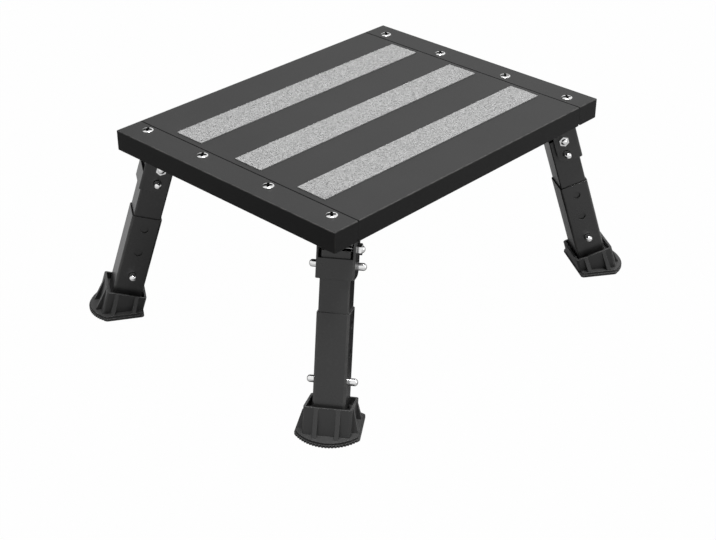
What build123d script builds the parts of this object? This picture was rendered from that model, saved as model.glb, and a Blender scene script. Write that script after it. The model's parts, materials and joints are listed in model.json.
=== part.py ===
from build123d import *
import os
from math import asin, cos, degrees, radians, sin, tan

# Folding entry step with four splayed, height-adjustable legs.
# Millimetres. The origin is on the ground under the middle of the deck, X runs along the
# deck, Y across it and Z up. Left is -X, right is +X, front is -Y and rear is +Y.

# Deck
deck_length = 480.0
deck_width = 370.0
deck_depth = 26.0
total_height = 246.0
sheet = 2.0
cap_length = 37.0
seam_gap = 1.2
edge_radius = 1.2
relief_notch = 2.5

# Anti-slip strips
strip_width = 44.0
strip_pitch = 103.7
strip_inset = 46.0
strip_thickness = 0.9
strip_corner = 1.0

# Frame under the deck
crossbar_width = 40.0
crossbar_wall = 2.0
crossbar_end_gap = 1.0
stringer_width = 30.0
stringer_height = 18.0
stringer_wall = 1.5
stringer_y = 88.0
tube_edge_radius = 1.5

# Deck screws, a row of four at each end
screw_inset = 25.5
screw_inner_y = 56.0
screw_outer_y = 156.0
screw_head_radius = 7.0
screw_head_height = 4.0
screw_dome_share = 0.9
screw_shank_radius = 3.0
screw_length = 14.0
screw_hole_gap = 0.2
screw_slot_length = 9.0
screw_slot_width = 1.8
screw_slot_depth = 2.2
screw_slot_turn = 45.0

# Legs
leg_heading = radians(34.0)
leg_splay = radians(17.5)
leg_inset_x = 38.0
leg_inset_y = 30.6
lower_tube = 38.0
tube_wall = 1.3
slide_clearance = 0.3
upper_corner = 2.0
lower_corner = 3.0
fold_clearance = 0.5
tube_ear = 8.0
lower_tube_head = 16.2
hole_pitch = 33.7
hole_count = 3
snap_rise = 25.3
upper_tube_tail = 14.0

# Leg brackets
bracket_sheet = 2.5
bracket_bend = 3.0
cheek_inward = 12.0
cheek_gap = 2.2
web_top = 8.5
web_bottom = 32.0
sweep_clearance = 0.4
lock_drop = 20.0
lock_hole_radius = 5.0
lock_edge = 12.0
plate_thickness = 2.0
plate_margin = 2.5

# Hinge bolts, with a low head at the rear and a domed nut at the front
bolt_radius = 3.0
running_gap = 0.05
bolt_head_radius = 5.0
bolt_head_height = 1.4
nut_across_flats = 12.0
nut_height = 4.5
dome_radius = 4.4
dome_height = 3.4
spacer_radius = 4.6
spacer_gap = 0.1

# Spring buttons and their clips
button_radius = 4.4
button_hole_gap = 0.6
button_reach = 10.4
button_dome = 3.8
button_flange = 1.3
button_flange_height = 0.9
flange_clearance = 0.1
clip_thickness = 0.8
clip_width = 10.0
clip_seat = 7.0
clip_length = 36.0
clip_bend = 4.0
clip_round_share = 0.9

# Rubber feet
sole_thickness = 3.2
sole_lip = 2.0
plinth_height = 2.4
foot_heel = 26.5
foot_heel_half = 37.0
foot_toe_start = 21.0
foot_toe_half = 38.0
foot_toe_tip = 41.0
foot_corner = 4.0
foot_floor = 9.5
collar_front = 27.0
collar_back = 24.0
collar_half = 28.0
collar_height = 30.0
collar_corner = 3.5
collar_wall = 2.8
pocket_depth = 9.0
seat_gap = 0.15
fin_thickness = 5.0
fin_spacing = 25.5
fin_setback = 1.2
tread_notch = 1.8
tread_pitch = 3.6
tread_border = 6.0
tread_groove = 2.6
tread_groove_pitch = 7.5
tread_groove_depth = 1.2

# Sizes that follow from the ones above
deck_bottom = total_height - deck_depth
sheet_under = total_height - sheet
panel_length = deck_length - 2 * cap_length
crossbar_x = deck_length / 2 - screw_inset
crossbar_depth = deck_depth - sheet - plate_thickness
crossbar_length = deck_width - 2 * sheet - 2 * crossbar_end_gap
upper_tube = lower_tube - 2 * tube_wall - 2 * slide_clearance
upper_half = upper_tube / 2
lower_half = lower_tube / 2
pivot_x = deck_length / 2 - leg_inset_x
pivot_y = deck_width / 2 - leg_inset_y
pivot_drop = lower_half + fold_clearance
pivot_z = deck_bottom - pivot_drop
leg_length = pivot_z / cos(leg_splay)
rim_drop = leg_length - collar_height
snap_drop = rim_drop - snap_rise
hole_drop = snap_drop - (hole_count - 1) * hole_pitch
upper_tube_end = snap_drop + upper_tube_tail
lower_tube_top = hole_drop - lower_tube_head
lower_tube_end = leg_length - foot_floor / cos(leg_splay)
cheek_inner = upper_half + cheek_gap
cheek_outer = cheek_inner + bracket_sheet
web_inner = upper_half + sweep_clearance
web_outer = web_inner + bracket_sheet
cheek_bottom = lock_drop + lock_edge
flange_seat = upper_half - tube_wall - flange_clearance
clip_face = flange_seat - button_flange_height

UP = Vector(0, 0, 1)


class Leg:
    """One corner's leg: its name, its pivot and the planes that its pieces are drawn on."""

    def __init__(self, name, toward_x, toward_y):
        self.name = name
        self.nut_way = toward_x
        self.outward = Vector(toward_x * cos(leg_heading), toward_y * sin(leg_heading), 0)
        self.across = self.outward.cross(UP)
        self.up_leg = UP * cos(leg_splay) - self.outward * sin(leg_splay)
        self.face = self.outward * cos(leg_splay) + UP * sin(leg_splay)
        self.pivot = Vector(toward_x * pivot_x, toward_y * pivot_y, pivot_z)
        self.base = self.pivot - self.up_leg * leg_length

    def on_axis(self, below):
        """The point on the leg's axis this far below the pivot."""
        return self.pivot - self.up_leg * below

    def section(self, below):
        """Square to the leg, this far below the pivot, with x outward and facing up the leg."""
        return Plane(origin=self.on_axis(below), x_dir=self.face, z_dir=self.up_leg)

    def profile(self):
        """The plane that the leg folds in: x out of the leg's outer face, y up the leg."""
        return Plane(origin=self.pivot, x_dir=self.face, z_dir=self.across)

    def elevation(self):
        """The leg seen along its outer face: x along the hinge axis, y down the leg."""
        return Plane(origin=self.pivot, x_dir=self.across, z_dir=self.face)

    def hinge_side(self, below, distance, way):
        """Across the hinge axis on one side (way is 1 or -1), facing away from the leg."""
        centre = self.on_axis(below) + self.across * (way * distance)
        return Plane(origin=centre, x_dir=self.up_leg, z_dir=self.across * way)

    def ground(self, height=0.0):
        """Level, with its origin under the foot and x outward."""
        return Plane(origin=self.base + UP * height, x_dir=self.outward, z_dir=UP)


legs = [
    Leg("front_left", -1, -1),
    Leg("front_right", 1, -1),
    Leg("rear_left", -1, 1),
    Leg("rear_right", 1, 1),
]
ends = {"left": -1, "right": 1}
ways = {"a": 1, "b": -1}
screw_rows = [-screw_outer_y, -screw_inner_y, screw_inner_y, screw_outer_y]

os.makedirs("parts", exist_ok=True)


def save(piece, name):
    piece.part.label = name
    export_step(piece.part, f"parts/{name}.step")


# Deck panel: one folded sheet, a top and two long skirts
with BuildPart() as deck_panel:
    with BuildSketch(Plane.YZ.offset(-panel_length / 2 + seam_gap)):
        with Locations((0, total_height - deck_depth / 2)):
            section = Rectangle(deck_width, deck_depth)
        fillet(section.vertices().group_by(Axis.Y)[-1], edge_radius)
        with Locations((0, deck_bottom)):
            Rectangle(
                deck_width - 2 * sheet,
                deck_depth - sheet,
                align=(Align.CENTER, Align.MIN),
                mode=Mode.SUBTRACT,
            )
    extrude(amount=panel_length - 2 * seam_gap)
save(deck_panel, "deck_panel")


# End caps: folded trays flush with the panel, each with a row of screw holes
for end_name, end in ends.items():
    with BuildPart() as end_cap:
        with BuildSketch(Plane.XY.offset(deck_bottom)):
            with Locations((end * (deck_length - cap_length) / 2, 0)):
                Rectangle(cap_length, deck_width)
        extrude(amount=deck_depth)
        corners = end_cap.edges().filter_by(Axis.Z).sort_by(Axis.X, reverse=end > 0)[:2]
        fillet(corners, edge_radius)
        top = end_cap.faces().sort_by(Axis.Z)[-1]
        seam = top.edges().filter_by(Axis.Y).sort_by(Axis.X, reverse=end < 0)[0]
        fillet([edge for edge in top.edges() if edge != seam], edge_radius)
        with BuildSketch(Plane.XY.offset(deck_bottom)):
            with Locations((end * (deck_length - cap_length - 2 * sheet) / 2, 0)):
                Rectangle(cap_length, deck_width - 2 * sheet)
        extrude(amount=deck_depth - sheet, mode=Mode.SUBTRACT)
        with BuildSketch(Plane.XY.offset(sheet_under)):
            with Locations(*[(end * crossbar_x, y) for y in screw_rows]):
                Circle(screw_shank_radius + screw_hole_gap)
        extrude(amount=sheet, mode=Mode.SUBTRACT)
        with BuildSketch(Plane.XZ):
            with Locations((end * (deck_length / 2 - cap_length), deck_bottom)):
                Rectangle(2 * relief_notch, 2 * relief_notch, rotation=45)
        extrude(amount=deck_width, both=True, mode=Mode.SUBTRACT)
    save(end_cap, f"end_cap_{end_name}")


# Anti-slip strips, stuck to the panel
for strip_name, row in {"front": -1, "middle": 0, "rear": 1}.items():
    with BuildPart() as grip_strip:
        with BuildSketch(Plane.XY.offset(total_height)):
            with Locations((0, row * strip_pitch)):
                RectangleRounded(deck_length - 2 * strip_inset, strip_width, strip_corner)
        extrude(amount=strip_thickness)
    save(grip_strip, f"grip_strip_{strip_name}")


# Crossbars: box tubes under each end, which the screws pull the caps down on
for end_name, end in ends.items():
    with BuildPart() as crossbar:
        with BuildSketch(Plane.XZ.offset(-crossbar_length / 2)):
            with Locations((end * crossbar_x, sheet_under - crossbar_depth / 2)):
                RectangleRounded(crossbar_width, crossbar_depth, tube_edge_radius)
                Rectangle(
                    crossbar_width - 2 * crossbar_wall,
                    crossbar_depth - 2 * crossbar_wall,
                    mode=Mode.SUBTRACT,
                )
        extrude(amount=crossbar_length)
        with BuildSketch(Plane.XY.offset(sheet_under)):
            with Locations(*[(end * crossbar_x, y) for y in screw_rows]):
                Circle(screw_shank_radius + running_gap)
        extrude(amount=-2 * crossbar_wall, mode=Mode.SUBTRACT)
    save(crossbar, f"crossbar_{end_name}")


# Stringers: box tubes between the crossbars, under the panel
for stringer_name, way in {"front": -1, "rear": 1}.items():
    with BuildPart() as stringer:
        with BuildSketch(Plane.YZ.offset(-(crossbar_x - crossbar_width / 2))):
            with Locations((way * stringer_y, sheet_under - stringer_height / 2)):
                RectangleRounded(stringer_width, stringer_height, tube_edge_radius)
                Rectangle(
                    stringer_width - 2 * stringer_wall,
                    stringer_height - 2 * stringer_wall,
                    mode=Mode.SUBTRACT,
                )
        extrude(amount=2 * crossbar_x - crossbar_width)
    save(stringer, f"stringer_{stringer_name}")


# Deck screws: domed heads with a cross recess
screw_places = [(end * crossbar_x, y) for end in ends.values() for y in screw_rows]
with BuildPart() as deck_screws:
    with BuildSketch(Plane.XY.offset(total_height)):
        with Locations(*screw_places):
            Circle(screw_head_radius)
    extrude(amount=screw_head_height)
    rims = deck_screws.edges().filter_by(GeomType.CIRCLE).group_by(Axis.Z)[-1]
    fillet(rims, screw_dome_share * screw_head_height)
    with BuildSketch(Plane.XY.offset(total_height)):
        with Locations(*screw_places):
            Circle(screw_shank_radius)
    extrude(amount=-screw_length)
    with BuildSketch(Plane.XY.offset(total_height + screw_head_height)):
        with Locations(*screw_places):
            Rectangle(screw_slot_length, screw_slot_width, rotation=screw_slot_turn)
            Rectangle(screw_slot_width, screw_slot_length, rotation=screw_slot_turn)
    extrude(amount=-screw_slot_depth, mode=Mode.SUBTRACT)
save(deck_screws, "deck_screws")


def cheek_top(out):
    """How far up the leg a bracket cheek ends in its plate, this far out of the axis."""
    return (pivot_drop + plate_thickness / 2 - out * sin(leg_splay)) / cos(leg_splay)


def make_bracket(leg):
    """A yoke folded from one sheet, welded to a plate under the crossbar."""
    highest = cheek_top(-cheek_inward)
    with BuildPart() as bracket:
        # U-shaped section: a web on the outer side and a cheek on each side of the leg
        with BuildSketch(leg.section(cheek_bottom)):
            with Locations(((web_outer - cheek_inward) / 2, 0)):
                yoke = Rectangle(web_outer + cheek_inward, 2 * cheek_outer)
            fillet(yoke.vertices().group_by(Axis.X)[-1], bracket_bend)
            with Locations((web_inner, 0)):
                Rectangle(
                    web_inner + 2 * cheek_inward,
                    2 * cheek_inner,
                    align=(Align.MAX, Align.CENTER),
                    mode=Mode.SUBTRACT,
                )
        extrude(amount=cheek_bottom + highest)
        # Trimmed to the cheeks' outline, level at the deck and round at the lock hole
        with BuildSketch(leg.profile()):
            with BuildLine():
                Polyline(
                    (web_outer, -web_bottom),
                    (web_outer, cheek_top(web_outer)),
                    (-cheek_inward, highest),
                    (-cheek_inward, -lock_drop),
                )
                RadiusArc((-cheek_inward, -lock_drop), (0, -cheek_bottom), -lock_edge)
                Line((0, -cheek_bottom), (web_outer, -web_bottom))
            make_face()
        extrude(amount=2 * cheek_outer, both=True, mode=Mode.INTERSECT)
        # Window between the web and the deck
        with BuildSketch(leg.elevation()):
            with Locations((0, web_top)):
                Rectangle(
                    2 * cheek_inner,
                    web_top + 2 * highest,
                    align=(Align.CENTER, Align.MAX),
                )
        extrude(amount=2 * web_outer, mode=Mode.SUBTRACT)
        # Hinge and lock holes through both cheeks
        with BuildSketch(leg.profile()):
            Circle(bolt_radius + running_gap)
            with Locations((0, -lock_drop)):
                Circle(lock_hole_radius)
        extrude(amount=2 * cheek_outer, both=True, mode=Mode.SUBTRACT)
        # Plate under the crossbar, as large as the yoke's footprint
        tops = [
            leg.profile().from_local_coords(Vector(out, cheek_top(out), way * cheek_outer))
            for out in (web_outer, -cheek_inward)
            for way in ways.values()
        ]
        west = min(top.X for top in tops) - plate_margin
        east = max(top.X for top in tops) + plate_margin
        south = min(top.Y for top in tops)
        north = max(top.Y for top in tops)
        with BuildSketch(Plane.XY.offset(deck_bottom)):
            with Locations(((west + east) / 2, (south + north) / 2)):
                Rectangle(east - west, north - south)
        extrude(amount=plate_thickness)
    return bracket


def dome_arc(way, base, height, radius):
    """A round cap on the hinge axis: an arc from its rim, this far along, to its crown."""
    ball = (radius**2 + height**2) / (2 * height)
    half_turn = asin(radius / ball) / 2
    centre = base + height - ball
    middle = (way * (centre + ball * cos(half_turn)), ball * sin(half_turn))
    return ThreePointArc((way * base, radius), middle, (way * (base + height), 0))


def make_upper_tube(leg):
    """The square tube that hangs on the hinge by two ears, with holes for its spring buttons."""
    bore = upper_tube - 2 * tube_wall
    with BuildPart() as tube:
        with BuildSketch(leg.section(upper_tube_end)):
            RectangleRounded(upper_tube, upper_tube, upper_corner)
            Rectangle(bore, bore, mode=Mode.SUBTRACT)
        extrude(amount=upper_tube_end + tube_ear)
        with BuildSketch(leg.profile()):
            Rectangle(upper_tube, upper_tube_end, align=(Align.CENTER, Align.MAX))
            Circle(tube_ear)
        extrude(amount=upper_tube, both=True, mode=Mode.INTERSECT)
        with BuildSketch(leg.profile()):
            Circle(bolt_radius + running_gap)
            with Locations((0, -lock_drop), (0, -snap_drop)):
                Circle(button_radius + running_gap)
        extrude(amount=upper_tube, both=True, mode=Mode.SUBTRACT)
    return tube


def make_lower_tube(leg):
    """The square tube that slides on the upper one, with a column of height holes."""
    bore = lower_tube - 2 * tube_wall
    holes = [(0, -hole_drop - step * hole_pitch) for step in range(hole_count)]
    with BuildPart() as tube:
        with BuildSketch(leg.section(lower_tube_end)):
            RectangleRounded(lower_tube, lower_tube, lower_corner)
            Rectangle(bore, bore, mode=Mode.SUBTRACT)
        extrude(amount=lower_tube_end - lower_tube_top)
        with BuildSketch(leg.profile()):
            with Locations(*holes):
                Circle(button_radius + button_hole_gap)
        extrude(amount=lower_tube, both=True, mode=Mode.SUBTRACT)
    return tube


def make_button(leg, below, tip, way):
    """A domed button with a flange that stops it inside the upper tube's wall."""
    with BuildPart() as button:
        with BuildSketch(leg.hinge_side(below, clip_face, way)):
            Circle(button_radius + button_flange)
        extrude(amount=button_flange_height)
        with BuildSketch(leg.hinge_side(below, flange_seat, way)):
            Circle(button_radius)
        extrude(amount=tip - flange_seat)
        outward = Axis(leg.pivot, leg.across * way)
        fillet(button.edges().filter_by(GeomType.CIRCLE).sort_by(outward)[-1], button_dome)
    return button


def make_clip(leg, below, bend_way):
    """A leaf spring bent into a U inside the upper tube, with a button on each arm."""
    arm = clip_face - clip_thickness / 2
    seat_end = below - bend_way * clip_seat
    seat_start = below + bend_way * clip_seat
    bend = below + bend_way * clip_length
    with BuildPart() as clip:
        with BuildSketch(leg.elevation()):
            with BuildLine():
                FilletPolyline(
                    (arm, seat_end),
                    (arm, seat_start),
                    (clip_bend, bend),
                    (-clip_bend, bend),
                    (-arm, seat_start),
                    (-arm, seat_end),
                    radius=clip_round_share * clip_bend,
                )
            trace(line_width=clip_thickness)
        extrude(amount=clip_width / 2, both=True)
    return clip


# Foot outline: a straight heel, spreading sides and a round toe
toe_sagitta = foot_toe_tip - foot_toe_start
toe_radius = (foot_toe_half**2 + toe_sagitta**2) / (2 * toe_sagitta)
toe_centre = foot_toe_tip - toe_radius
toe_turn = degrees(asin((foot_toe_half - foot_corner) / toe_radius))
toe_steps = int(2 * radians(toe_turn) * toe_radius / tread_pitch)
side_grooves = int((foot_heel + foot_toe_start) / tread_groove_pitch) - 1
collar_middle = (collar_front - collar_back) / 2
collar_depth = collar_front + collar_back


def foot_outline(inset):
    """The foot's plan, this far inside the sole's edge."""
    heel = -foot_heel + inset
    heel_half = foot_heel_half - inset
    toe_half = foot_toe_half - inset
    Line((heel, heel_half), (heel, -heel_half))
    Line((heel, -heel_half), (foot_toe_start, -toe_half))
    ThreePointArc(
        (foot_toe_start, -toe_half),
        (foot_toe_tip - inset, 0),
        (foot_toe_start, toe_half),
    )
    Line((foot_toe_start, toe_half), (heel, heel_half))


def in_profile(out, height):
    """Where a leg's profile has the point this far out of its foot's middle and this high."""
    return (
        out * cos(leg_splay) + height * sin(leg_splay),
        height * cos(leg_splay) - out * sin(leg_splay) - leg_length,
    )


def toe_fin():
    """A fin's corners, from the collar's front rim down to the toe."""
    reach = toe_centre + (toe_radius**2 - (fin_spacing / 2) ** 2) ** 0.5 - fin_thickness / 2
    return [
        (collar_front, -rim_drop),
        in_profile(reach - fin_setback, sole_thickness / 2),
        in_profile(0, sole_thickness / 2),
    ]


def side_fin(out, way):
    """A fin's corners, from the collar's side rim down to the edge of the sole."""
    root = (pivot_z - sole_thickness / 2 + out * sin(leg_splay)) / cos(leg_splay)
    return [
        (way * collar_half, rim_drop),
        (way * (foot_heel_half - fin_setback), root),
        (0, root),
    ]


def make_foot(leg):
    """A moulded rubber boot: a treaded sole, a box collar with a pocket and fins round it."""
    with BuildPart() as foot:
        # Collar along the leg, with two fins on its front and on each side
        collar_root = collar_front * tan(leg_splay)
        with BuildSketch(leg.section(leg_length + collar_root)):
            with Locations((collar_middle, 0)):
                RectangleRounded(collar_depth, 2 * collar_half, collar_corner)
        extrude(amount=collar_root + collar_height)
        for way in ways.values():
            with BuildSketch(leg.profile().offset(way * fin_spacing / 2)):
                with BuildLine():
                    Polyline(*toe_fin(), close=True)
                make_face()
            extrude(amount=fin_thickness / 2, both=True)
            for turn in ways.values():
                out = collar_middle + turn * fin_spacing / 2
                with BuildSketch(leg.elevation().offset(out)):
                    with BuildLine():
                        Polyline(*side_fin(out, way), close=True)
                    make_face()
                extrude(amount=fin_thickness / 2, both=True)
        split(bisect_by=leg.ground(), keep=Keep.TOP)
        # Sole with a notched toe, and a plinth set in from its edge
        with BuildSketch(leg.ground()) as sole:
            with BuildLine():
                foot_outline(0)
            make_face()
            fillet(sole.vertices(), foot_corner)
            with Locations((toe_centre, 0)):
                with PolarLocations(toe_radius, toe_steps, -toe_turn, 2 * toe_turn, endpoint=True):
                    Rectangle(tread_notch, tread_notch, rotation=45, mode=Mode.SUBTRACT)
        extrude(amount=sole_thickness)
        with BuildSketch(leg.ground(sole_thickness)) as plinth:
            with BuildLine():
                foot_outline(sole_lip)
            make_face()
            fillet(plinth.vertices(), foot_corner)
        extrude(amount=plinth_height)
        with BuildSketch(leg.ground()):
            with Locations(((foot_toe_start - foot_heel) / 2, 0)):
                with GridLocations(tread_groove_pitch, 0, side_grooves, 1):
                    Rectangle(tread_groove, 2 * (foot_heel_half - tread_border))
        extrude(amount=tread_groove_depth, mode=Mode.SUBTRACT)
        # Open pocket at the rim, and below it the socket for the lower tube
        with BuildSketch(leg.section(rim_drop + pocket_depth)):
            with Locations((collar_middle, 0)):
                Rectangle(collar_depth - 2 * collar_wall, 2 * (collar_half - collar_wall))
        extrude(amount=2 * pocket_depth, mode=Mode.SUBTRACT)
        socket = lower_tube + 2 * seat_gap
        with BuildSketch(leg.section(lower_tube_end)):
            RectangleRounded(socket, socket, lower_corner)
        extrude(amount=lower_tube_end - rim_drop, mode=Mode.SUBTRACT)
    return foot


# Hinge hardware, one set at each leg
with BuildPart() as hinge_bolts:
    for leg in legs:
        way = leg.nut_way
        with BuildSketch(leg.elevation()):
            with BuildLine():
                Polyline(
                    (-way * (cheek_outer + bolt_head_height), 0),
                    (way * (cheek_outer + nut_height), 0),
                    (way * (cheek_outer + nut_height), bolt_radius),
                    (-way * cheek_outer, bolt_radius),
                    (-way * cheek_outer, bolt_head_radius),
                )
                dome_arc(-way, cheek_outer, bolt_head_height, bolt_head_radius)
            make_face()
        revolve(axis=Axis(leg.pivot, leg.across))
save(hinge_bolts, "hinge_bolts")

nut_face = cheek_outer + nut_height
with BuildPart() as hinge_nuts:
    for leg in legs:
        way = leg.nut_way
        with BuildSketch(leg.hinge_side(0, cheek_outer, way)):
            RegularPolygon(nut_across_flats / 2, 6, major_radius=False)
            Circle(bolt_radius + running_gap, mode=Mode.SUBTRACT)
        extrude(amount=nut_height)
        with BuildSketch(leg.elevation()):
            with BuildLine():
                dome_arc(way, nut_face, dome_height, dome_radius)
                Polyline(
                    (way * (nut_face + dome_height), 0),
                    (way * nut_face, 0),
                    (way * nut_face, dome_radius),
                )
            make_face()
        revolve(axis=Axis(leg.pivot, leg.across))
save(hinge_nuts, "hinge_nuts")

with BuildPart() as hinge_spacers:
    for leg in legs:
        for way in ways.values():
            with BuildSketch(leg.hinge_side(0, upper_half + spacer_gap, way)):
                Circle(spacer_radius)
                Circle(bolt_radius + running_gap, mode=Mode.SUBTRACT)
            extrude(amount=cheek_gap - spacer_gap)
save(hinge_spacers, "hinge_spacers")


# Legs, one corner at a time
for leg in legs:
    save(make_bracket(leg), f"leg_bracket_{leg.name}")
    save(make_upper_tube(leg), f"upper_tube_{leg.name}")
    save(make_lower_tube(leg), f"lower_tube_{leg.name}")
    save(make_foot(leg), f"foot_{leg.name}")
    save(make_clip(leg, lock_drop, 1), f"lock_clip_{leg.name}")
    save(make_clip(leg, snap_drop, -1), f"height_clip_{leg.name}")
    for letter, way in ways.items():
        lock_button = make_button(leg, lock_drop, cheek_outer + button_reach, way)
        save(lock_button, f"lock_button_{letter}_{leg.name}")
        height_button = make_button(leg, snap_drop, lower_half + button_reach, way)
        save(height_button, f"height_button_{letter}_{leg.name}")
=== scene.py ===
import json
from math import copysign, cos, radians, sin

import bmesh
import bpy
from mathutils import Matrix, Vector


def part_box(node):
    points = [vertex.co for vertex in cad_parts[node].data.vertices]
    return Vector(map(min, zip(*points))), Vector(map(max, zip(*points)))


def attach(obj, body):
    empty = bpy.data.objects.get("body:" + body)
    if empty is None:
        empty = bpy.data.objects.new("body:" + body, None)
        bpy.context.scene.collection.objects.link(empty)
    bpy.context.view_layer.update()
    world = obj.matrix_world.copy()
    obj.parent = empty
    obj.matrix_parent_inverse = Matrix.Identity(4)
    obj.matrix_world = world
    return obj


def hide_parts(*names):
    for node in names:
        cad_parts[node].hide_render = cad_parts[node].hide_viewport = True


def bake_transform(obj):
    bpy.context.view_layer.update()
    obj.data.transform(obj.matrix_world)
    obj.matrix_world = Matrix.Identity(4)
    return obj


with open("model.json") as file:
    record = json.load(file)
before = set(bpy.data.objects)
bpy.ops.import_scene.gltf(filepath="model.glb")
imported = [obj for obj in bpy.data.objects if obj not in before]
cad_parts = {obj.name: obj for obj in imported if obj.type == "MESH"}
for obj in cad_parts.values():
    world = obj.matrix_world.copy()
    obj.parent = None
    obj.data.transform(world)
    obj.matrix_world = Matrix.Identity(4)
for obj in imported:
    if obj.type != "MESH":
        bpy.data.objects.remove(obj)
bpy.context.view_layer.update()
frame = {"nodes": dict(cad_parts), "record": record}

# A folding entry step: the finish of every surface, its fine detail and its studio.
# Metres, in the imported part's own frame: X along the deck, Y across it, Z up from the ground.

MM = 0.001

# The photograph's frame and the camera that matches it
IMAGE_WIDTH = 716
SENSOR_WIDTH = 36.0
FOCAL_PIXELS = 1434.9
CAMERA_AZIMUTH = radians(-46.656)
CAMERA_ELEVATION = radians(30.933)
CAMERA_ROLL = radians(0.068)
CAMERA_DISTANCE = 1.7860
CAMERA_RIGHT = -0.0053
CAMERA_UP = -0.1942

CORNERS = ["front_left", "front_right", "rear_left", "rear_right"]
STRIPS = ["grip_strip_front", "grip_strip_middle", "grip_strip_rear"]

# A node's loose triangles: the reach that joins their corners, and the turn that is still flat
MERGE_REACH = 0.002 * MM
FLAT_TURN = radians(0.6)

# Broken edges: the least angle that is an edge, and the width on each kind of piece
CREASE = radians(30)
SHEET_EDGE = 0.25 * MM
FRAME_EDGE = 0.3 * MM
NUT_EDGE = 0.2 * MM
BRACKET_EDGE = 0.4 * MM
TUBE_EDGE = 0.35 * MM
FOOT_EDGE = 0.5 * MM

# Outer edges that wear first and get a painted highlight: narrow faces that turn the surface by
# this much
EDGE_WIDTH = 1.5 * MM
EDGE_TURN = radians(12)

# The seam between the deck's panel and its end caps: how deep it shows, and the least gap
SEAM_DEPTH = 1.0 * MM
SEAM_PLAY = 0.05 * MM

# The painted shade in the seam's gap: where it fades to the sides and downwards, how strong it
# is and how dark
SEAM_FADE = (0.6 * MM, 1.3 * MM)
SEAM_FOOT = 3 * MM
SEAM_SHADE_STRENGTH = 0.85
SEAM_PAINTED_SHADE = 0.006

# Deck screws: a row of two pairs at each end, a head's shape and its cross recess
SCREW_ROW_GAP = 429 * MM
SCREW_PAIR_GAP = 212 * MM
SCREW_PITCH = 100 * MM
SCREW_RADIUS = 7.0 * MM
SCREW_HEIGHT = 2.5 * MM
SCREW_RIM = 0.9 * MM
SCREW_SEGMENTS = 40
SCREW_RINGS = 28
SCREW_CREASE = radians(40)
SCREW_SEED = 7
RECESS_LENGTH = 10.0 * MM
RECESS_WIDTH = 3.2 * MM
RECESS_DEPTH = 1.5 * MM
RECESS_TURN = radians(-46)
RECESS_PLAY = radians(5)

# Grit: grains to the square metre, their form, sizes and shades, and a seed for each strip
GRAIN_DENSITY = 0.3 / MM / MM
GRAIN_FORM = (1.0, 1.0, 0.7)
GRAIN_SMALLEST = 0.5 * MM
GRAIN_LARGEST = 1.3 * MM
GRAIN_SHADES = (0.35, 1.0)
GRAIN_SEED = 20
GRAIN_SEED_STEP = 10

# The studio's dark card: the way it stands from the object, the slope by which its foot sinks
# to the left of the picture, where its edges fade, and how dark it is
CARD_AZIMUTH = radians(64)
CARD_TOWARD = (cos(CARD_AZIMUTH), sin(CARD_AZIMUTH), 0.0)
CARD_SLOPE = 0.8
CARD_LEAN = (-CARD_SLOPE * cos(CAMERA_AZIMUTH), -CARD_SLOPE * sin(CAMERA_AZIMUTH), 1.0)
CARD_SIDE = (0.60, 0.75)
CARD_FOOT = (0.32, 0.42)
CARD_HEAD = (0.60, 0.75)
CARD_DEPTH = 0.95

# The sky's light on the object, and how far the floor lies under the feet
SKY_LEVEL = 0.04
FLOOR_DROP = 0.1 * MM

deck_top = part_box("deck_panel")[1].z
panel_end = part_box("deck_panel")[1].x
cap_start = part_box("end_cap_right")[0].x
seam_x = (panel_end + cap_start) / 2


# Node trees, written as expressions

class Wire:
    """An output socket. Arithmetic on it adds Math nodes to its tree."""

    def __init__(self, graph, socket):
        self.graph = graph
        self.socket = socket

    def math(self, operation, *values):
        """Adds a Math node on these values."""
        inputs = dict(enumerate(values))
        return self.graph.node("ShaderNodeMath", {"operation": operation}, inputs)

    def __add__(self, other):
        return self.math("ADD", self, other)

    def __sub__(self, other):
        return self.math("SUBTRACT", self, other)

    def __rsub__(self, other):
        return self.math("SUBTRACT", other, self)

    def __mul__(self, other):
        return self.math("MULTIPLY", self, other)

    def __gt__(self, other):
        return self.math("GREATER_THAN", self, other)

    __radd__ = __add__
    __rmul__ = __mul__

    def larger(self, other):
        return self.math("MAXIMUM", self, other)

    def size(self):
        return self.math("ABSOLUTE", self)

    def swing(self, amount):
        """A number from 0 to 1 as a swing about 0, of this amount in all."""
        return (self - 0.5) * amount

    def between(self, low, high):
        """0 below low, 1 above high and a smooth step between them."""
        settings = {"interpolation_type": "SMOOTHSTEP"}
        inputs = {"Value": self, "From Min": low, "From Max": high}
        return self.graph.node("ShaderNodeMapRange", settings, inputs)


class Graph:
    """A node tree, shader or geometry, to which one method adds nodes."""

    def __init__(self, tree):
        self.tree = tree

    def node(self, kind, settings=None, inputs=None, output=0):
        """Adds a node: its settings first, then its sockets' values or links."""
        made = self.tree.nodes.new(kind)
        for name, value in (settings or {}).items():
            setattr(made, name, value)
        for key, value in (inputs or {}).items():
            socket = self.pick(made.inputs, key)
            for wire in value if isinstance(value, list) else [value]:
                if isinstance(wire, Wire):
                    self.tree.links.new(wire.socket, socket)
                else:
                    socket.default_value = wire
        return Wire(self, self.pick(made.outputs, output)) if made.outputs else None

    def parts(self, vector):
        """The three parts of a vector."""
        split = self.node("ShaderNodeSeparateXYZ", inputs={"Vector": vector})
        return [Wire(self, socket) for socket in split.socket.node.outputs]

    @staticmethod
    def pick(sockets, key):
        """A socket by its place, its identifier or its name."""
        if isinstance(key, int):
            return sockets[key]
        for socket in sockets:
            if socket.identifier == key:
                return socket
        return sockets[key]


def grey(level, warmth=0.0):
    """A neutral colour of this linear level, a touch warm or cool."""
    return (level * (1 + warmth), level, level * (1 - warmth), 1.0)


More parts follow.
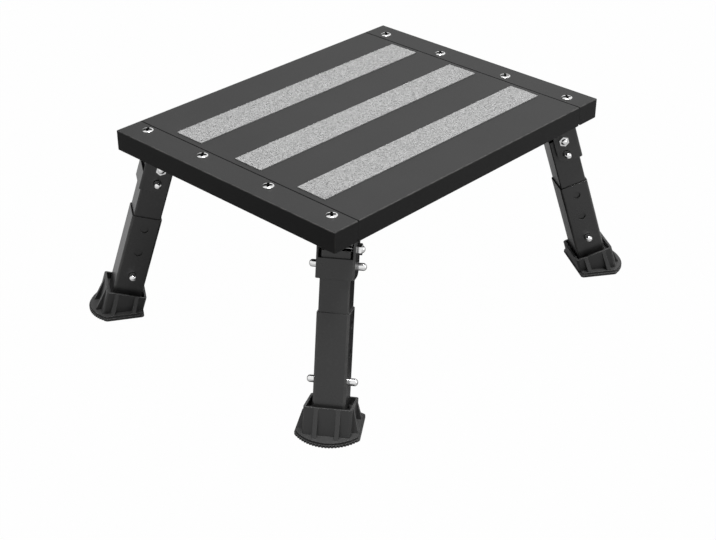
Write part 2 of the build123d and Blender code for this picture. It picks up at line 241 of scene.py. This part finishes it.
class Finish(Graph):
    """A material that is made of one Principled shader and the nodes in front of it."""

    def __init__(self, name):
        self.material = bpy.data.materials.new(name)
        self.material.use_nodes = True
        super().__init__(self.material.node_tree)
        self.tree.nodes.clear()
        self.place = self.node("ShaderNodeTexCoord", output="Object")

    def noise(self, scale, detail=2.0, roughness=0.5, stretch=None):
        """Noise of this many cells to the metre, from 0 to 1."""
        place = self.place
        if stretch:
            place = self.node("ShaderNodeMapping", inputs={"Vector": place, "Scale": stretch})
        inputs = {"Vector": place, "Scale": scale, "Detail": detail, "Roughness": roughness}
        return self.node("ShaderNodeTexNoise", inputs=inputs)

    def mark(self, name):
        """A number that the mesh keeps under this name, or 0 where it keeps none."""
        return self.node("ShaderNodeAttribute", {"attribute_name": name}, output="Fac")

    def rubbed_and_lit(self, scale, low, high):
        """Outer edges, rubbed and given a painted highlight, in patches of this many to the
        metre.
        """
        return self.mark("worn_and_lit_edge") * self.noise(scale, detail=3.0).between(low, high)

    def tint(self, share, low, high):
        """A colour from low to high, by share."""
        inputs = {"Factor_Float": share, "A_Color": low, "B_Color": high}
        return self.node("ShaderNodeMix", {"data_type": "RGBA"}, inputs, "Result_Color")

    def bump(self, height, distance):
        """A normal that follows a height from 0 to 1, where 1 stands for this distance."""
        return self.node("ShaderNodeBump", inputs={"Height": height, "Distance": distance})

    def surface(self, **inputs):
        """Ends the material in a Principled shader with these inputs."""
        named = {key.replace("_", " ").title(): value for key, value in inputs.items()}
        if "Specular" in named:
            named["Specular IOR Level"] = named.pop("Specular")
        shader = self.node("ShaderNodeBsdfPrincipled", inputs=named)
        self.node("ShaderNodeOutputMaterial", inputs={"Surface": shader})
        return self.material


class Recipe(Graph):
    """A Geometry Nodes tree with named inputs, from which pieces are made."""

    def __init__(self, name, material):
        super().__init__(bpy.data.node_groups.new(name, "GeometryNodeTree"))
        self.material = material
        self.sockets = {}
        self.entry = self.tree.nodes.new("NodeGroupInput")

    def takes(self, name, kind="NodeSocketFloat"):
        """A named input of the tree."""
        socket = self.tree.interface.new_socket(name, in_out="INPUT", socket_type=kind)
        self.sockets[name] = socket.identifier
        return Wire(self, self.pick(self.entry.outputs, socket.identifier))

    def vector(self, x=0.0, y=0.0, z=0.0):
        return self.node("ShaderNodeCombineXYZ", inputs={"X": x, "Y": y, "Z": z})

    def random(self, low, high, seed):
        """A number for each point, between low and high."""
        inputs = {"Min_001": low, "Max_001": high, "Seed": seed}
        return self.node("FunctionNodeRandomValue", {"data_type": "FLOAT"}, inputs, "Value_001")

    def moved(self, geometry, place):
        """The geometry, moved by this vector."""
        inputs = {"Geometry": geometry, "Translation": place}
        return self.node("GeometryNodeTransform", inputs=inputs)

    def stored(self, geometry, name, value, domain):
        """The geometry with a number kept on it under this name, for its finish to read."""
        settings = {"data_type": "FLOAT", "domain": domain}
        inputs = {"Geometry": geometry, "Name": name, "Value": value}
        return self.node("GeometryNodeStoreNamedAttribute", settings, inputs)

    def ends(self, geometry):
        """Makes instances real, gives them their finish and ends the tree."""
        real = self.node("GeometryNodeRealizeInstances", inputs={"Geometry": geometry})
        inputs = {"Geometry": real, "Material": self.material}
        dressed = self.node("GeometryNodeSetMaterial", inputs=inputs)
        kind = "NodeSocketGeometry"
        self.tree.interface.new_socket("Geometry", in_out="OUTPUT", socket_type=kind)
        self.node("NodeGroupOutput", inputs={"Geometry": dressed})

    def make(self, name, values, base=None):
        """The mesh that the tree makes with these values, as a plain piece."""
        piece = new_object(name, base or bpy.data.meshes.new(name))
        modifier = piece.modifiers.new("recipe", "NODES")
        modifier.node_group = self.tree
        for label, value in values.items():
            modifier[self.sockets[label]] = value
        return as_plain_mesh(piece)


# Finishes

def powder_coat(name, shade, roughness, grain, relief, specular, wear_and_highlight):
    """Black powder coat: fine bumps, a faint cloudiness, edges with wear and a painted
    highlight, and painted shade in the top seam.
    """
    dark = grey(shade * 0.85)
    light = grey(shade * 1.2)
    rubbed_highlight_colour = grey(shade * 3.0, warmth=0.02)
    speck_scale = grain * 0.45
    cloud_share = 0.6
    cloud_swing = 0.10
    fine_swing = 0.12
    polish = 0.08

    coat = Finish(name)
    fine = coat.noise(grain, detail=3.0, roughness=0.6)
    cloud = coat.noise(scale=14.0, detail=3.0)
    speck = coat.noise(speck_scale, detail=1.0).between(low=0.52, high=0.72)
    x, _, z = coat.parts(coat.place)
    # Painted shade: a dark band along the seam across the deck's top, standing for the shadow in
    # the gap
    seam_shade_band = 1 - (x.size() - seam_x).size().between(*SEAM_FADE)
    upper = z.between(deck_top - SEAM_FOOT, deck_top - SEAM_DEPTH)
    rubbed_and_lit = coat.rubbed_and_lit(scale=70.0, low=0.2, high=0.65) * (1 - seam_shade_band)
    colour = coat.tint(cloud * cloud_share + speck * (1 - cloud_share), dark, light)
    # Wear and painted highlight: outer edges are lightened towards a bright grey
    colour = coat.tint(rubbed_and_lit * wear_and_highlight, colour, rubbed_highlight_colour)
    # Tints the seam band towards the painted shade
    colour = coat.tint(seam_shade_band * upper * SEAM_SHADE_STRENGTH, colour, grey(SEAM_PAINTED_SHADE))
    rough = roughness + cloud.swing(cloud_swing) + fine.swing(fine_swing) - rubbed_and_lit * polish
    normal = coat.bump(fine, relief)
    return coat.surface(base_color=colour, roughness=rough, normal=normal, specular=specular)


def grit_finish(roughness, specular):
    """Light grey mineral grit, each grain of its own shade, set in a darker tape."""
    dark = grey(0.30)
    light = grey(0.62)
    grain_share = 0.6

    grit = Finish("grip_grit")
    shade = grit.mark("grain_shade")
    patch = grit.noise(scale=260.0).between(low=0.25, high=0.75)
    colour = grit.tint(shade * grain_share + patch * (1 - grain_share), dark, light)
    normal = grit.bump(grit.noise(scale=2600.0), distance=0.2 * MM)
    return grit.surface(base_color=colour, roughness=roughness, normal=normal, specular=specular)


def chrome_finish(roughness):
    """Bright plating with a faint haze, fine handling marks and painted shade in the recesses.
    """
    dull = grey(0.72)
    bright = grey(0.86)
    recess_shade = grey(0.008)
    scuffing = 0.07
    recess_dulling = 0.4

    chrome = Finish("chrome")
    marks = chrome.noise(scale=900.0, detail=3.0, roughness=0.6, stretch=(1.0, 1.0, 0.12))
    haze = chrome.noise(scale=180.0)
    recess = chrome.mark("in_recess")
    colour = chrome.tint(haze, dull, bright)
    # Painted shade: the screw heads' cross recesses are darkened in the colour
    colour = chrome.tint(recess, colour, recess_shade)
    rough = roughness + marks * scuffing + recess * recess_dulling
    normal = chrome.bump(marks, distance=0.01 * MM)
    return chrome.surface(base_color=colour, metallic=1.0, roughness=rough, normal=normal)


def worked_steel(name, dark, light, scale, stretch, roughness, spread):
    """Plain steel with fine lines, along the way that it was drawn or turned."""
    steel = Finish(name)
    lines = steel.noise(scale, stretch=stretch)
    colour = steel.tint(lines, dark, light)
    rough = roughness + lines * spread
    normal = steel.bump(lines, distance=0.02 * MM)
    return steel.surface(base_color=colour, metallic=1.0, roughness=rough, normal=normal)


def rubber_finish(roughness, specular):
    """Moulded rubber with a fine spark-eroded grain, edges with wear and a painted highlight,
    and painted shade that darkens the sole.
    """
    dark = grey(0.043)
    light = grey(0.058)
    sole_shade_colour = grey(0.015)
    rubbed_highlight_colour = grey(0.24, warmth=0.01)
    sole_shade_share = 0.8
    sole_dulling = 0.15
    wear_and_highlight = 0.7
    grain_swing = 0.2

    rubber = Finish("foot_rubber")
    grain = rubber.noise(scale=1300.0, roughness=0.6)
    cloud = rubber.noise(scale=45.0, detail=3.0)
    height = rubber.parts(rubber.place)[2]
    # Painted shade: the lowest few millimetres, the sole, are darkened in the colour
    sole_shade_band = 1 - height.between(low=4.5 * MM, high=7 * MM)
    rubbed_and_lit = rubber.rubbed_and_lit(scale=110.0, low=0.2, high=0.6)
    colour = rubber.tint(cloud, dark, light)
    colour = rubber.tint(sole_shade_band * sole_shade_share, colour, sole_shade_colour)
    # Wear and painted highlight: the rubber's outer edges are lightened
    colour = rubber.tint(rubbed_and_lit * wear_and_highlight, colour, rubbed_highlight_colour)
    rough = roughness + grain.swing(grain_swing) + sole_shade_band * sole_dulling
    normal = rubber.bump(grain, distance=0.05 * MM)
    return rubber.surface(base_color=colour, roughness=rough, normal=normal, specular=specular)


finishes = {
    "deck_coat": powder_coat(
        "deck_coat", shade=0.047, roughness=0.52, grain=1500.0, relief=0.06 * MM,
        specular=0.08, wear_and_highlight=0.5,
    ),
    "frame_coat": powder_coat(
        "frame_coat", shade=0.062, roughness=0.44, grain=1100.0, relief=0.05 * MM,
        specular=0.35, wear_and_highlight=0.4,
    ),
    "leg_coat": powder_coat(
        "leg_coat", shade=0.060, roughness=0.30, grain=700.0, relief=0.03 * MM,
        specular=0.56, wear_and_highlight=0.45,
    ),
    "grip_grit": grit_finish(roughness=0.75, specular=0.3),
    "chrome": chrome_finish(roughness=0.07),
    "spring_steel": worked_steel(
        "spring_steel", dark=grey(0.32), light=grey(0.52, warmth=0.02), scale=1500.0,
        stretch=(1.0, 1.0, 0.06), roughness=0.28, spread=0.14,
    ),
    "spacer": worked_steel(
        "spacer_steel", dark=grey(0.50), light=grey(0.66), scale=1200.0,
        stretch=(1.0, 0.2, 0.2), roughness=0.24, spread=0.12,
    ),
    "foot_rubber": rubber_finish(roughness=0.44, specular=0.5),
}
node_slots = {row["node"]: row["material_slot"] for row in frame["record"]["subparts"]}
behaviour = frame["record"]["behaviour"]
node_bodies = {node: body for body, nodes in behaviour["bodies"].items() for node in nodes}
joints = {seam_shade_band["name"]: seam_shade_band for seam_shade_band in behaviour["joints"]}


# Pieces

def new_object(name, data):
    made = bpy.data.objects.new(name, data)
    bpy.context.scene.collection.objects.link(made)
    return made


def as_plain_mesh(piece):
    """Turns what the modifiers make into the piece's own mesh, and removes them."""
    shown = bpy.context.evaluated_depsgraph_get()
    mesh = bpy.data.meshes.new_from_object(piece.evaluated_get(shown))
    piece.modifiers.clear()
    piece.data = mesh
    return piece


def paint(piece, node):
    """Gives a piece the finish of the node's slot, in place of any other."""
    piece.data.materials.clear()
    piece.data.materials.append(finishes[node_slots[node]])


def dress(piece, node):
    """A new piece that stands for a node, in the node's finish."""
    paint(piece, node)
    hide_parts(node)
    return piece


def settle(piece, node):
    """Dresses a new piece and lets it ride on the node's body."""
    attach(dress(piece, node), node_bodies[node])


def merged_copy(node):
    """A node's mesh with its loose triangles joined, and flat faces made whole."""
    joined = bmesh.new()
    joined.from_mesh(frame["nodes"][node].data)
    bmesh.ops.remove_doubles(joined, verts=joined.verts, dist=MERGE_REACH)
    bmesh.ops.dissolve_limit(
        joined, angle_limit=FLAT_TURN, verts=joined.verts, edges=joined.edges
    )
    mesh = bpy.data.meshes.new(node + "_dressed")
    joined.to_mesh(mesh)
    joined.free()
    if "custom_normal" in mesh.attributes:
        mesh.attributes.remove(mesh.attributes["custom_normal"])
    return mesh


def smooth(piece, crease):
    """Shades a piece smooth, apart from edges that turn by more than the crease."""
    piece.data.shade_smooth()
    piece.data.set_sharp_from_angle(angle=crease)


def mark_edges(piece):
    """Keeps a number on each face for its finish: 1 on a narrow outer edge, and 0 elsewhere."""
    shape = bmesh.new()
    shape.from_mesh(piece.data)
    marks = []
    for face in shape.faces:
        length = face.calc_perimeter() / 2
        turns = [edge.calc_face_angle_signed(0.0) * edge.calc_length() for edge in face.edges]
        turn = sum(turns) / length
        narrow = face.calc_area() < EDGE_WIDTH * length
        marks.append(float(narrow and turn > EDGE_TURN))
    shape.free()
    # This mark drives the edges' wear and painted highlight
    layer = piece.data.attributes.new("worn_and_lit_edge", "FLOAT", "FACE")
    layer.data.foreach_set("value", marks)


def close_skirt_seam(mesh):
    """Brings the panel's skirts up to the end caps, so that the seam shows on top alone."""
    for vertex in mesh.vertices:
        at_end = abs(vertex.co.x) > panel_end - SEAM_PLAY
        if at_end and vertex.co.z < deck_top - SEAM_DEPTH:
            vertex.co.x = copysign(cap_start - SEAM_PLAY, vertex.co.x)


def soften(node, width, reshape=None):
    """Breaks the sharp edges of a node, as paint, moulding or a file does."""
    piece = new_object(node + "_dressed", merged_copy(node))
    if reshape:
        reshape(piece.data)
    bevel = piece.modifiers.new("broken_edges", "BEVEL")
    bevel.width = width
    bevel.segments = 2
    bevel.limit_method = "ANGLE"
    bevel.angle_limit = CREASE
    bevel.use_clamp_overlap = True
    even = piece.modifiers.new("even_faces", "WEIGHTED_NORMAL")
    even.keep_sharp = True
    smooth(piece, CREASE)
    as_plain_mesh(piece)
    mark_edges(piece)
    settle(piece, node)


soften("deck_panel", SHEET_EDGE, reshape=close_skirt_seam)
for end in ("left", "right"):
    soften(f"end_cap_{end}", SHEET_EDGE)
    soften(f"crossbar_{end}", FRAME_EDGE)
for side in ("front", "rear"):
    soften(f"stringer_{side}", FRAME_EDGE)
soften("hinge_nuts", NUT_EDGE)
for corner in CORNERS:
    soften(f"leg_bracket_{corner}", BRACKET_EDGE)
    soften(f"upper_tube_{corner}", TUBE_EDGE)
    soften(f"lower_tube_{corner}", TUBE_EDGE)
    soften(f"foot_{corner}", FOOT_EDGE)


# Spring clips: each is cut at the middle of its bend into two arms, one for each button, from
# the clip's bend to the button's seat

def bend_arm(kind, corner, way):
    """Half of a clip, cut at the middle of its bend."""
    node = f"{kind}_clip_{corner}"
    inward = Vector(joints[f"{kind}_press_{way}_{corner}"]["axis"])
    arm = bmesh.new()
    arm.from_mesh(merged_copy(node))
    middle = sum((vertex.co for vertex in arm.verts), Vector()) / len(arm.verts)
    everything = arm.verts[:] + arm.edges[:] + arm.faces[:]
    bmesh.ops.bisect_plane(
        arm, geom=everything, plane_co=middle, plane_no=inward, clear_outer=True
    )
    rim = [edge for edge in arm.edges if edge.is_boundary]
    bmesh.ops.holes_fill(arm, edges=rim)
    mesh = bpy.data.meshes.new(f"{kind}_clip_arm_{way}_{corner}")
    arm.to_mesh(mesh)
    arm.free()
    piece = new_object(mesh.name, mesh)
    smooth(piece, CREASE)
    dress(piece, node)
    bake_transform(piece)


for corner in CORNERS:
    for kind in ("lock", "height"):
        for way in ("a", "b"):
            bend_arm(kind, corner, way)


# Deck screws: low domed heads with a cross recess, each driven home at its own angle

def screw_recipe():
    heads = Recipe("deck_screws", finishes["chrome"])
    radius = heads.takes("Head radius")
    height = heads.takes("Head height")
    rim = heads.takes("Rim height")
    length = heads.takes("Recess length")
    width = heads.takes("Recess width")
    depth = heads.takes("Recess depth")
    row_gap = heads.takes("Row spacing")
    pair_gap = heads.takes("Pair spacing")
    pair_pitch = heads.takes("Pitch in a pair")
    seat = heads.takes("Seat level")
    seed = heads.takes("Seed", "NodeSocketInt")

    # A ball of radius 1 becomes a head: all of it that lies below its equator is pressed flat
    under_equator = -0.01
    ball = heads.node("GeometryNodeMeshUVSphere", inputs={
        "Segments": SCREW_SEGMENTS, "Rings": SCREW_RINGS, "Radius": 1.0,
    })
    x, y, z = heads.parts(heads.node("GeometryNodeInputPosition"))
    crown = (rim + z.larger(0.0) * (height - rim)) * (z > under_equator)
    dome = heads.vector(x * radius, y * radius, crown)
    pan = heads.node("GeometryNodeSetPosition", inputs={"Geometry": ball, "Position": dome})
    pan = heads.stored(pan, "in_recess", 0.0, "FACE")
    bars = []
    for size in ((length, width), (width, length)):
        bar = heads.node("GeometryNodeMeshCube", inputs={"Size": heads.vector(*size, depth * 2)})
        bar = heads.moved(bar, heads.vector(z=height))
        bars.append(heads.stored(bar, "in_recess", 1.0, "FACE"))
    head = heads.node(
        "GeometryNodeMeshBoolean", {"operation": "DIFFERENCE"}, {"Mesh 1": pan, "Mesh 2": bars}
    )

    pair = heads.node("GeometryNodeMeshLine", {"mode": "OFFSET"}, {
        "Count": 2,
        "Start Location": heads.vector(y=pair_pitch * -0.5),
        "Offset": heads.vector(y=pair_pitch),
    })
    grid = heads.node("GeometryNodeMeshGrid", inputs={
        "Size X": row_gap, "Size Y": pair_gap, "Vertices X": 2, "Vertices Y": 2,
    })
    pairs = heads.node("GeometryNodeInstanceOnPoints", inputs={"Points": grid, "Instance": pair})
    places = heads.node("GeometryNodeRealizeInstances", inputs={"Geometry": pairs})
    turn = heads.random(RECESS_TURN - RECESS_PLAY, RECESS_TURN + RECESS_PLAY, seed)
    rows = heads.node("GeometryNodeInstanceOnPoints", inputs={
        "Points": places, "Instance": head, "Rotation": heads.vector(z=turn),
    })
    heads.ends(heads.moved(rows, heads.vector(z=seat)))
    return heads


screws = screw_recipe().make("deck_screw_heads", {
    "Head radius": SCREW_RADIUS,
    "Head height": SCREW_HEIGHT,
    "Rim height": SCREW_RIM,
    "Recess length": RECESS_LENGTH,
    "Recess width": RECESS_WIDTH,
    "Recess depth": RECESS_DEPTH,
    "Row spacing": SCREW_ROW_GAP,
    "Pair spacing": SCREW_PAIR_GAP,
    "Pitch in a pair": SCREW_PITCH,
    "Seat level": deck_top,
    "Seed": SCREW_SEED,
})
smooth(screws, SCREW_CREASE)
settle(screws, "deck_screws")


# Anti-slip strips: sharp grains scattered on the tape

def grit_recipe():
    strip = Recipe("grip_grit", finishes["grip_grit"])
    tape = strip.takes("Tape", "NodeSocketGeometry")
    density = strip.takes("Grains to the square metre")
    smallest = strip.takes("Smallest grain")
    largest = strip.takes("Largest grain")
    seed = strip.takes("Seed", "NodeSocketInt")

    nearly_up = 0.9
    facing = strip.parts(strip.node("GeometryNodeInputNormal", output="True Normal"))[2]
    spots = strip.node("GeometryNodeDistributePointsOnFaces", {"distribute_method": "RANDOM"}, {
        "Mesh": tape, "Selection": facing > nearly_up, "Density": density, "Seed": seed,
    })
    grain = strip.node("GeometryNodeMeshCube", inputs={"Size": GRAIN_FORM})
    angles = [strip.random(0.0, radians(360), seed + offset) for offset in (1, 2, 3)]
    size = strip.random(smallest, largest, seed + 4)
    grains = strip.node("GeometryNodeInstanceOnPoints", inputs={
        "Points": spots, "Instance": grain, "Rotation": strip.vector(*angles), "Scale": size,
    })
    shade = strip.random(*GRAIN_SHADES, seed + 5)
    shaded = strip.stored(grains, "grain_shade", shade, "INSTANCE")
    strip.ends(strip.node("GeometryNodeJoinGeometry", inputs={"Geometry": [tape, shaded]}))
    return strip


grit = grit_recipe()
for number, node in enumerate(STRIPS):
    gritted = grit.make(node + "_gritted", {
        "Grains to the square metre": GRAIN_DENSITY,
        "Smallest grain": GRAIN_SMALLEST,
        "Largest grain": GRAIN_LARGEST,
        "Seed": GRAIN_SEED + GRAIN_SEED_STEP * number,
    }, merged_copy(node))
    gritted.data.shade_flat()
    settle(gritted, node)

for node, plain in frame["nodes"].items():
    paint(plain, node)


# Studio: white ground and sky to the camera and in reflections, plain light on the object

def backdrop_share(graph, direct, mirrored):
    """How white the backdrop is to the camera and in reflections: 0 for light on the object."""
    seen = graph.node("ShaderNodeLightPath", output="Is Camera Ray")
    shiny = graph.node("ShaderNodeLightPath", output="Is Glossy Ray")
    through = graph.node("ShaderNodeLightPath", output="Is Transmission Ray")
    return (seen.larger(through) * direct).larger(shiny * mirrored)


def make_world(level):
    """A white sky, with a soft dark card behind the object that only reflections show."""
    world = bpy.data.worlds.new("studio")
    bpy.context.scene.world = world
    world.use_nodes = True
    sky = Graph(world.node_tree)
    sky.tree.nodes.clear()
    ray = sky.node("ShaderNodeTexCoord", output="Generated")
    toward, above = [
        sky.node("ShaderNodeVectorMath", {"operation": "DOT_PRODUCT"}, {0: ray, 1: way}, "Value")
        for way in (CARD_TOWARD, CARD_LEAN)
    ]
    below_head = 1 - sky.parts(ray)[2].between(*CARD_HEAD)
    card = toward.between(*CARD_SIDE) * above.between(*CARD_FOOT) * below_head
    strength = level + backdrop_share(sky, 1.0, 1 - card * CARD_DEPTH) * (1 - level)
    light = sky.node("ShaderNodeBackground", inputs={"Color": grey(1.0), "Strength": strength})
    sky.node("ShaderNodeOutputWorld", inputs={"Surface": light})


def make_floor(size, shade, glow, mirrored, dark_reach, white_reach):
    """A white floor that shows dark near the object in reflections, where its shadow is."""
    half = size / 2
    signs = [(-1, -1), (1, -1), (1, 1), (-1, 1)]
    corners = [(x * half, y * half, -FLOOR_DROP) for x, y in signs]
    floor_mesh = bpy.data.meshes.new("floor")
    floor_mesh.from_pydata(corners, [], [range(4)])
    floor = new_object("floor", floor_mesh)
    material = bpy.data.materials.new("pale_floor")
    material.use_nodes = True
    ground = Graph(material.node_tree)
    ground.tree.nodes.clear()
    matt = ground.node("ShaderNodeBsdfDiffuse", inputs={"Color": grey(shade)})
    white = ground.node("ShaderNodeEmission", inputs={"Color": grey(1.0), "Strength": 1.0})
    spot = ground.node("ShaderNodeTexCoord", output="Object")
    reach = ground.node("ShaderNodeVectorMath", {"operation": "LENGTH"}, {0: spot}, "Value")
    share = backdrop_share(ground, glow, reach.between(dark_reach, white_reach) * mirrored)
    mix = ground.node("ShaderNodeMixShader", inputs={0: share, 1: matt, 2: white})
    ground.node("ShaderNodeOutputMaterial", inputs={"Surface": mix})
    floor_mesh.materials.append(material)


def make_lamp(name, place, aim, size, power):
    """A round soft lamp at a place, turned to what it lights."""
    lamp = bpy.data.lights.new(name, "AREA")
    lamp.shape = "DISK"
    lamp.size = size
    lamp.energy = power
    holder = new_object(name, lamp)
    holder.location = place
    holder.rotation_euler = (Vector(aim) - Vector(place)).to_track_quat("-Z", "Y").to_euler()


def make_camera(target):
    """The photograph's camera, placed from the middle of the deck's top."""
    toward = Vector((
        sin(CAMERA_AZIMUTH) * cos(CAMERA_ELEVATION),
        -cos(CAMERA_AZIMUTH) * cos(CAMERA_ELEVATION),
        sin(CAMERA_ELEVATION),
    ))
    level_right = Vector((cos(CAMERA_AZIMUTH), sin(CAMERA_AZIMUTH), 0))
    level_up = toward.cross(level_right)
    right = level_right * cos(CAMERA_ROLL) + level_up * sin(CAMERA_ROLL)
    up = level_up * cos(CAMERA_ROLL) - level_right * sin(CAMERA_ROLL)
    place = target + toward * CAMERA_DISTANCE + right * CAMERA_RIGHT + up * CAMERA_UP
    lens = bpy.data.cameras.new("photo_camera")
    lens.sensor_width = SENSOR_WIDTH
    lens.lens = FOCAL_PIXELS * SENSOR_WIDTH / IMAGE_WIDTH
    camera = new_object("photo_camera", lens)
    turn = Matrix((right, up, toward)).transposed().to_4x4()
    camera.matrix_world = Matrix.Translation(place) @ turn
    bpy.context.scene.camera = camera


bpy.context.scene.view_settings.view_transform = "Standard"
make_world(SKY_LEVEL)
make_floor(
    size=40.0, shade=0.14, glow=0.99, mirrored=0.65, dark_reach=0.18, white_reach=0.45
)
make_lamp("softbox_overhead", place=(0.1, -0.15, 2.6), aim=(0, 0, 0.2), size=0.9, power=72.0)
make_lamp("fill_front", place=(1.2, -2.6, 0.9), aim=(0, 0, 0.15), size=1.6, power=9.0)
make_camera(Vector((0, 0, deck_top)))
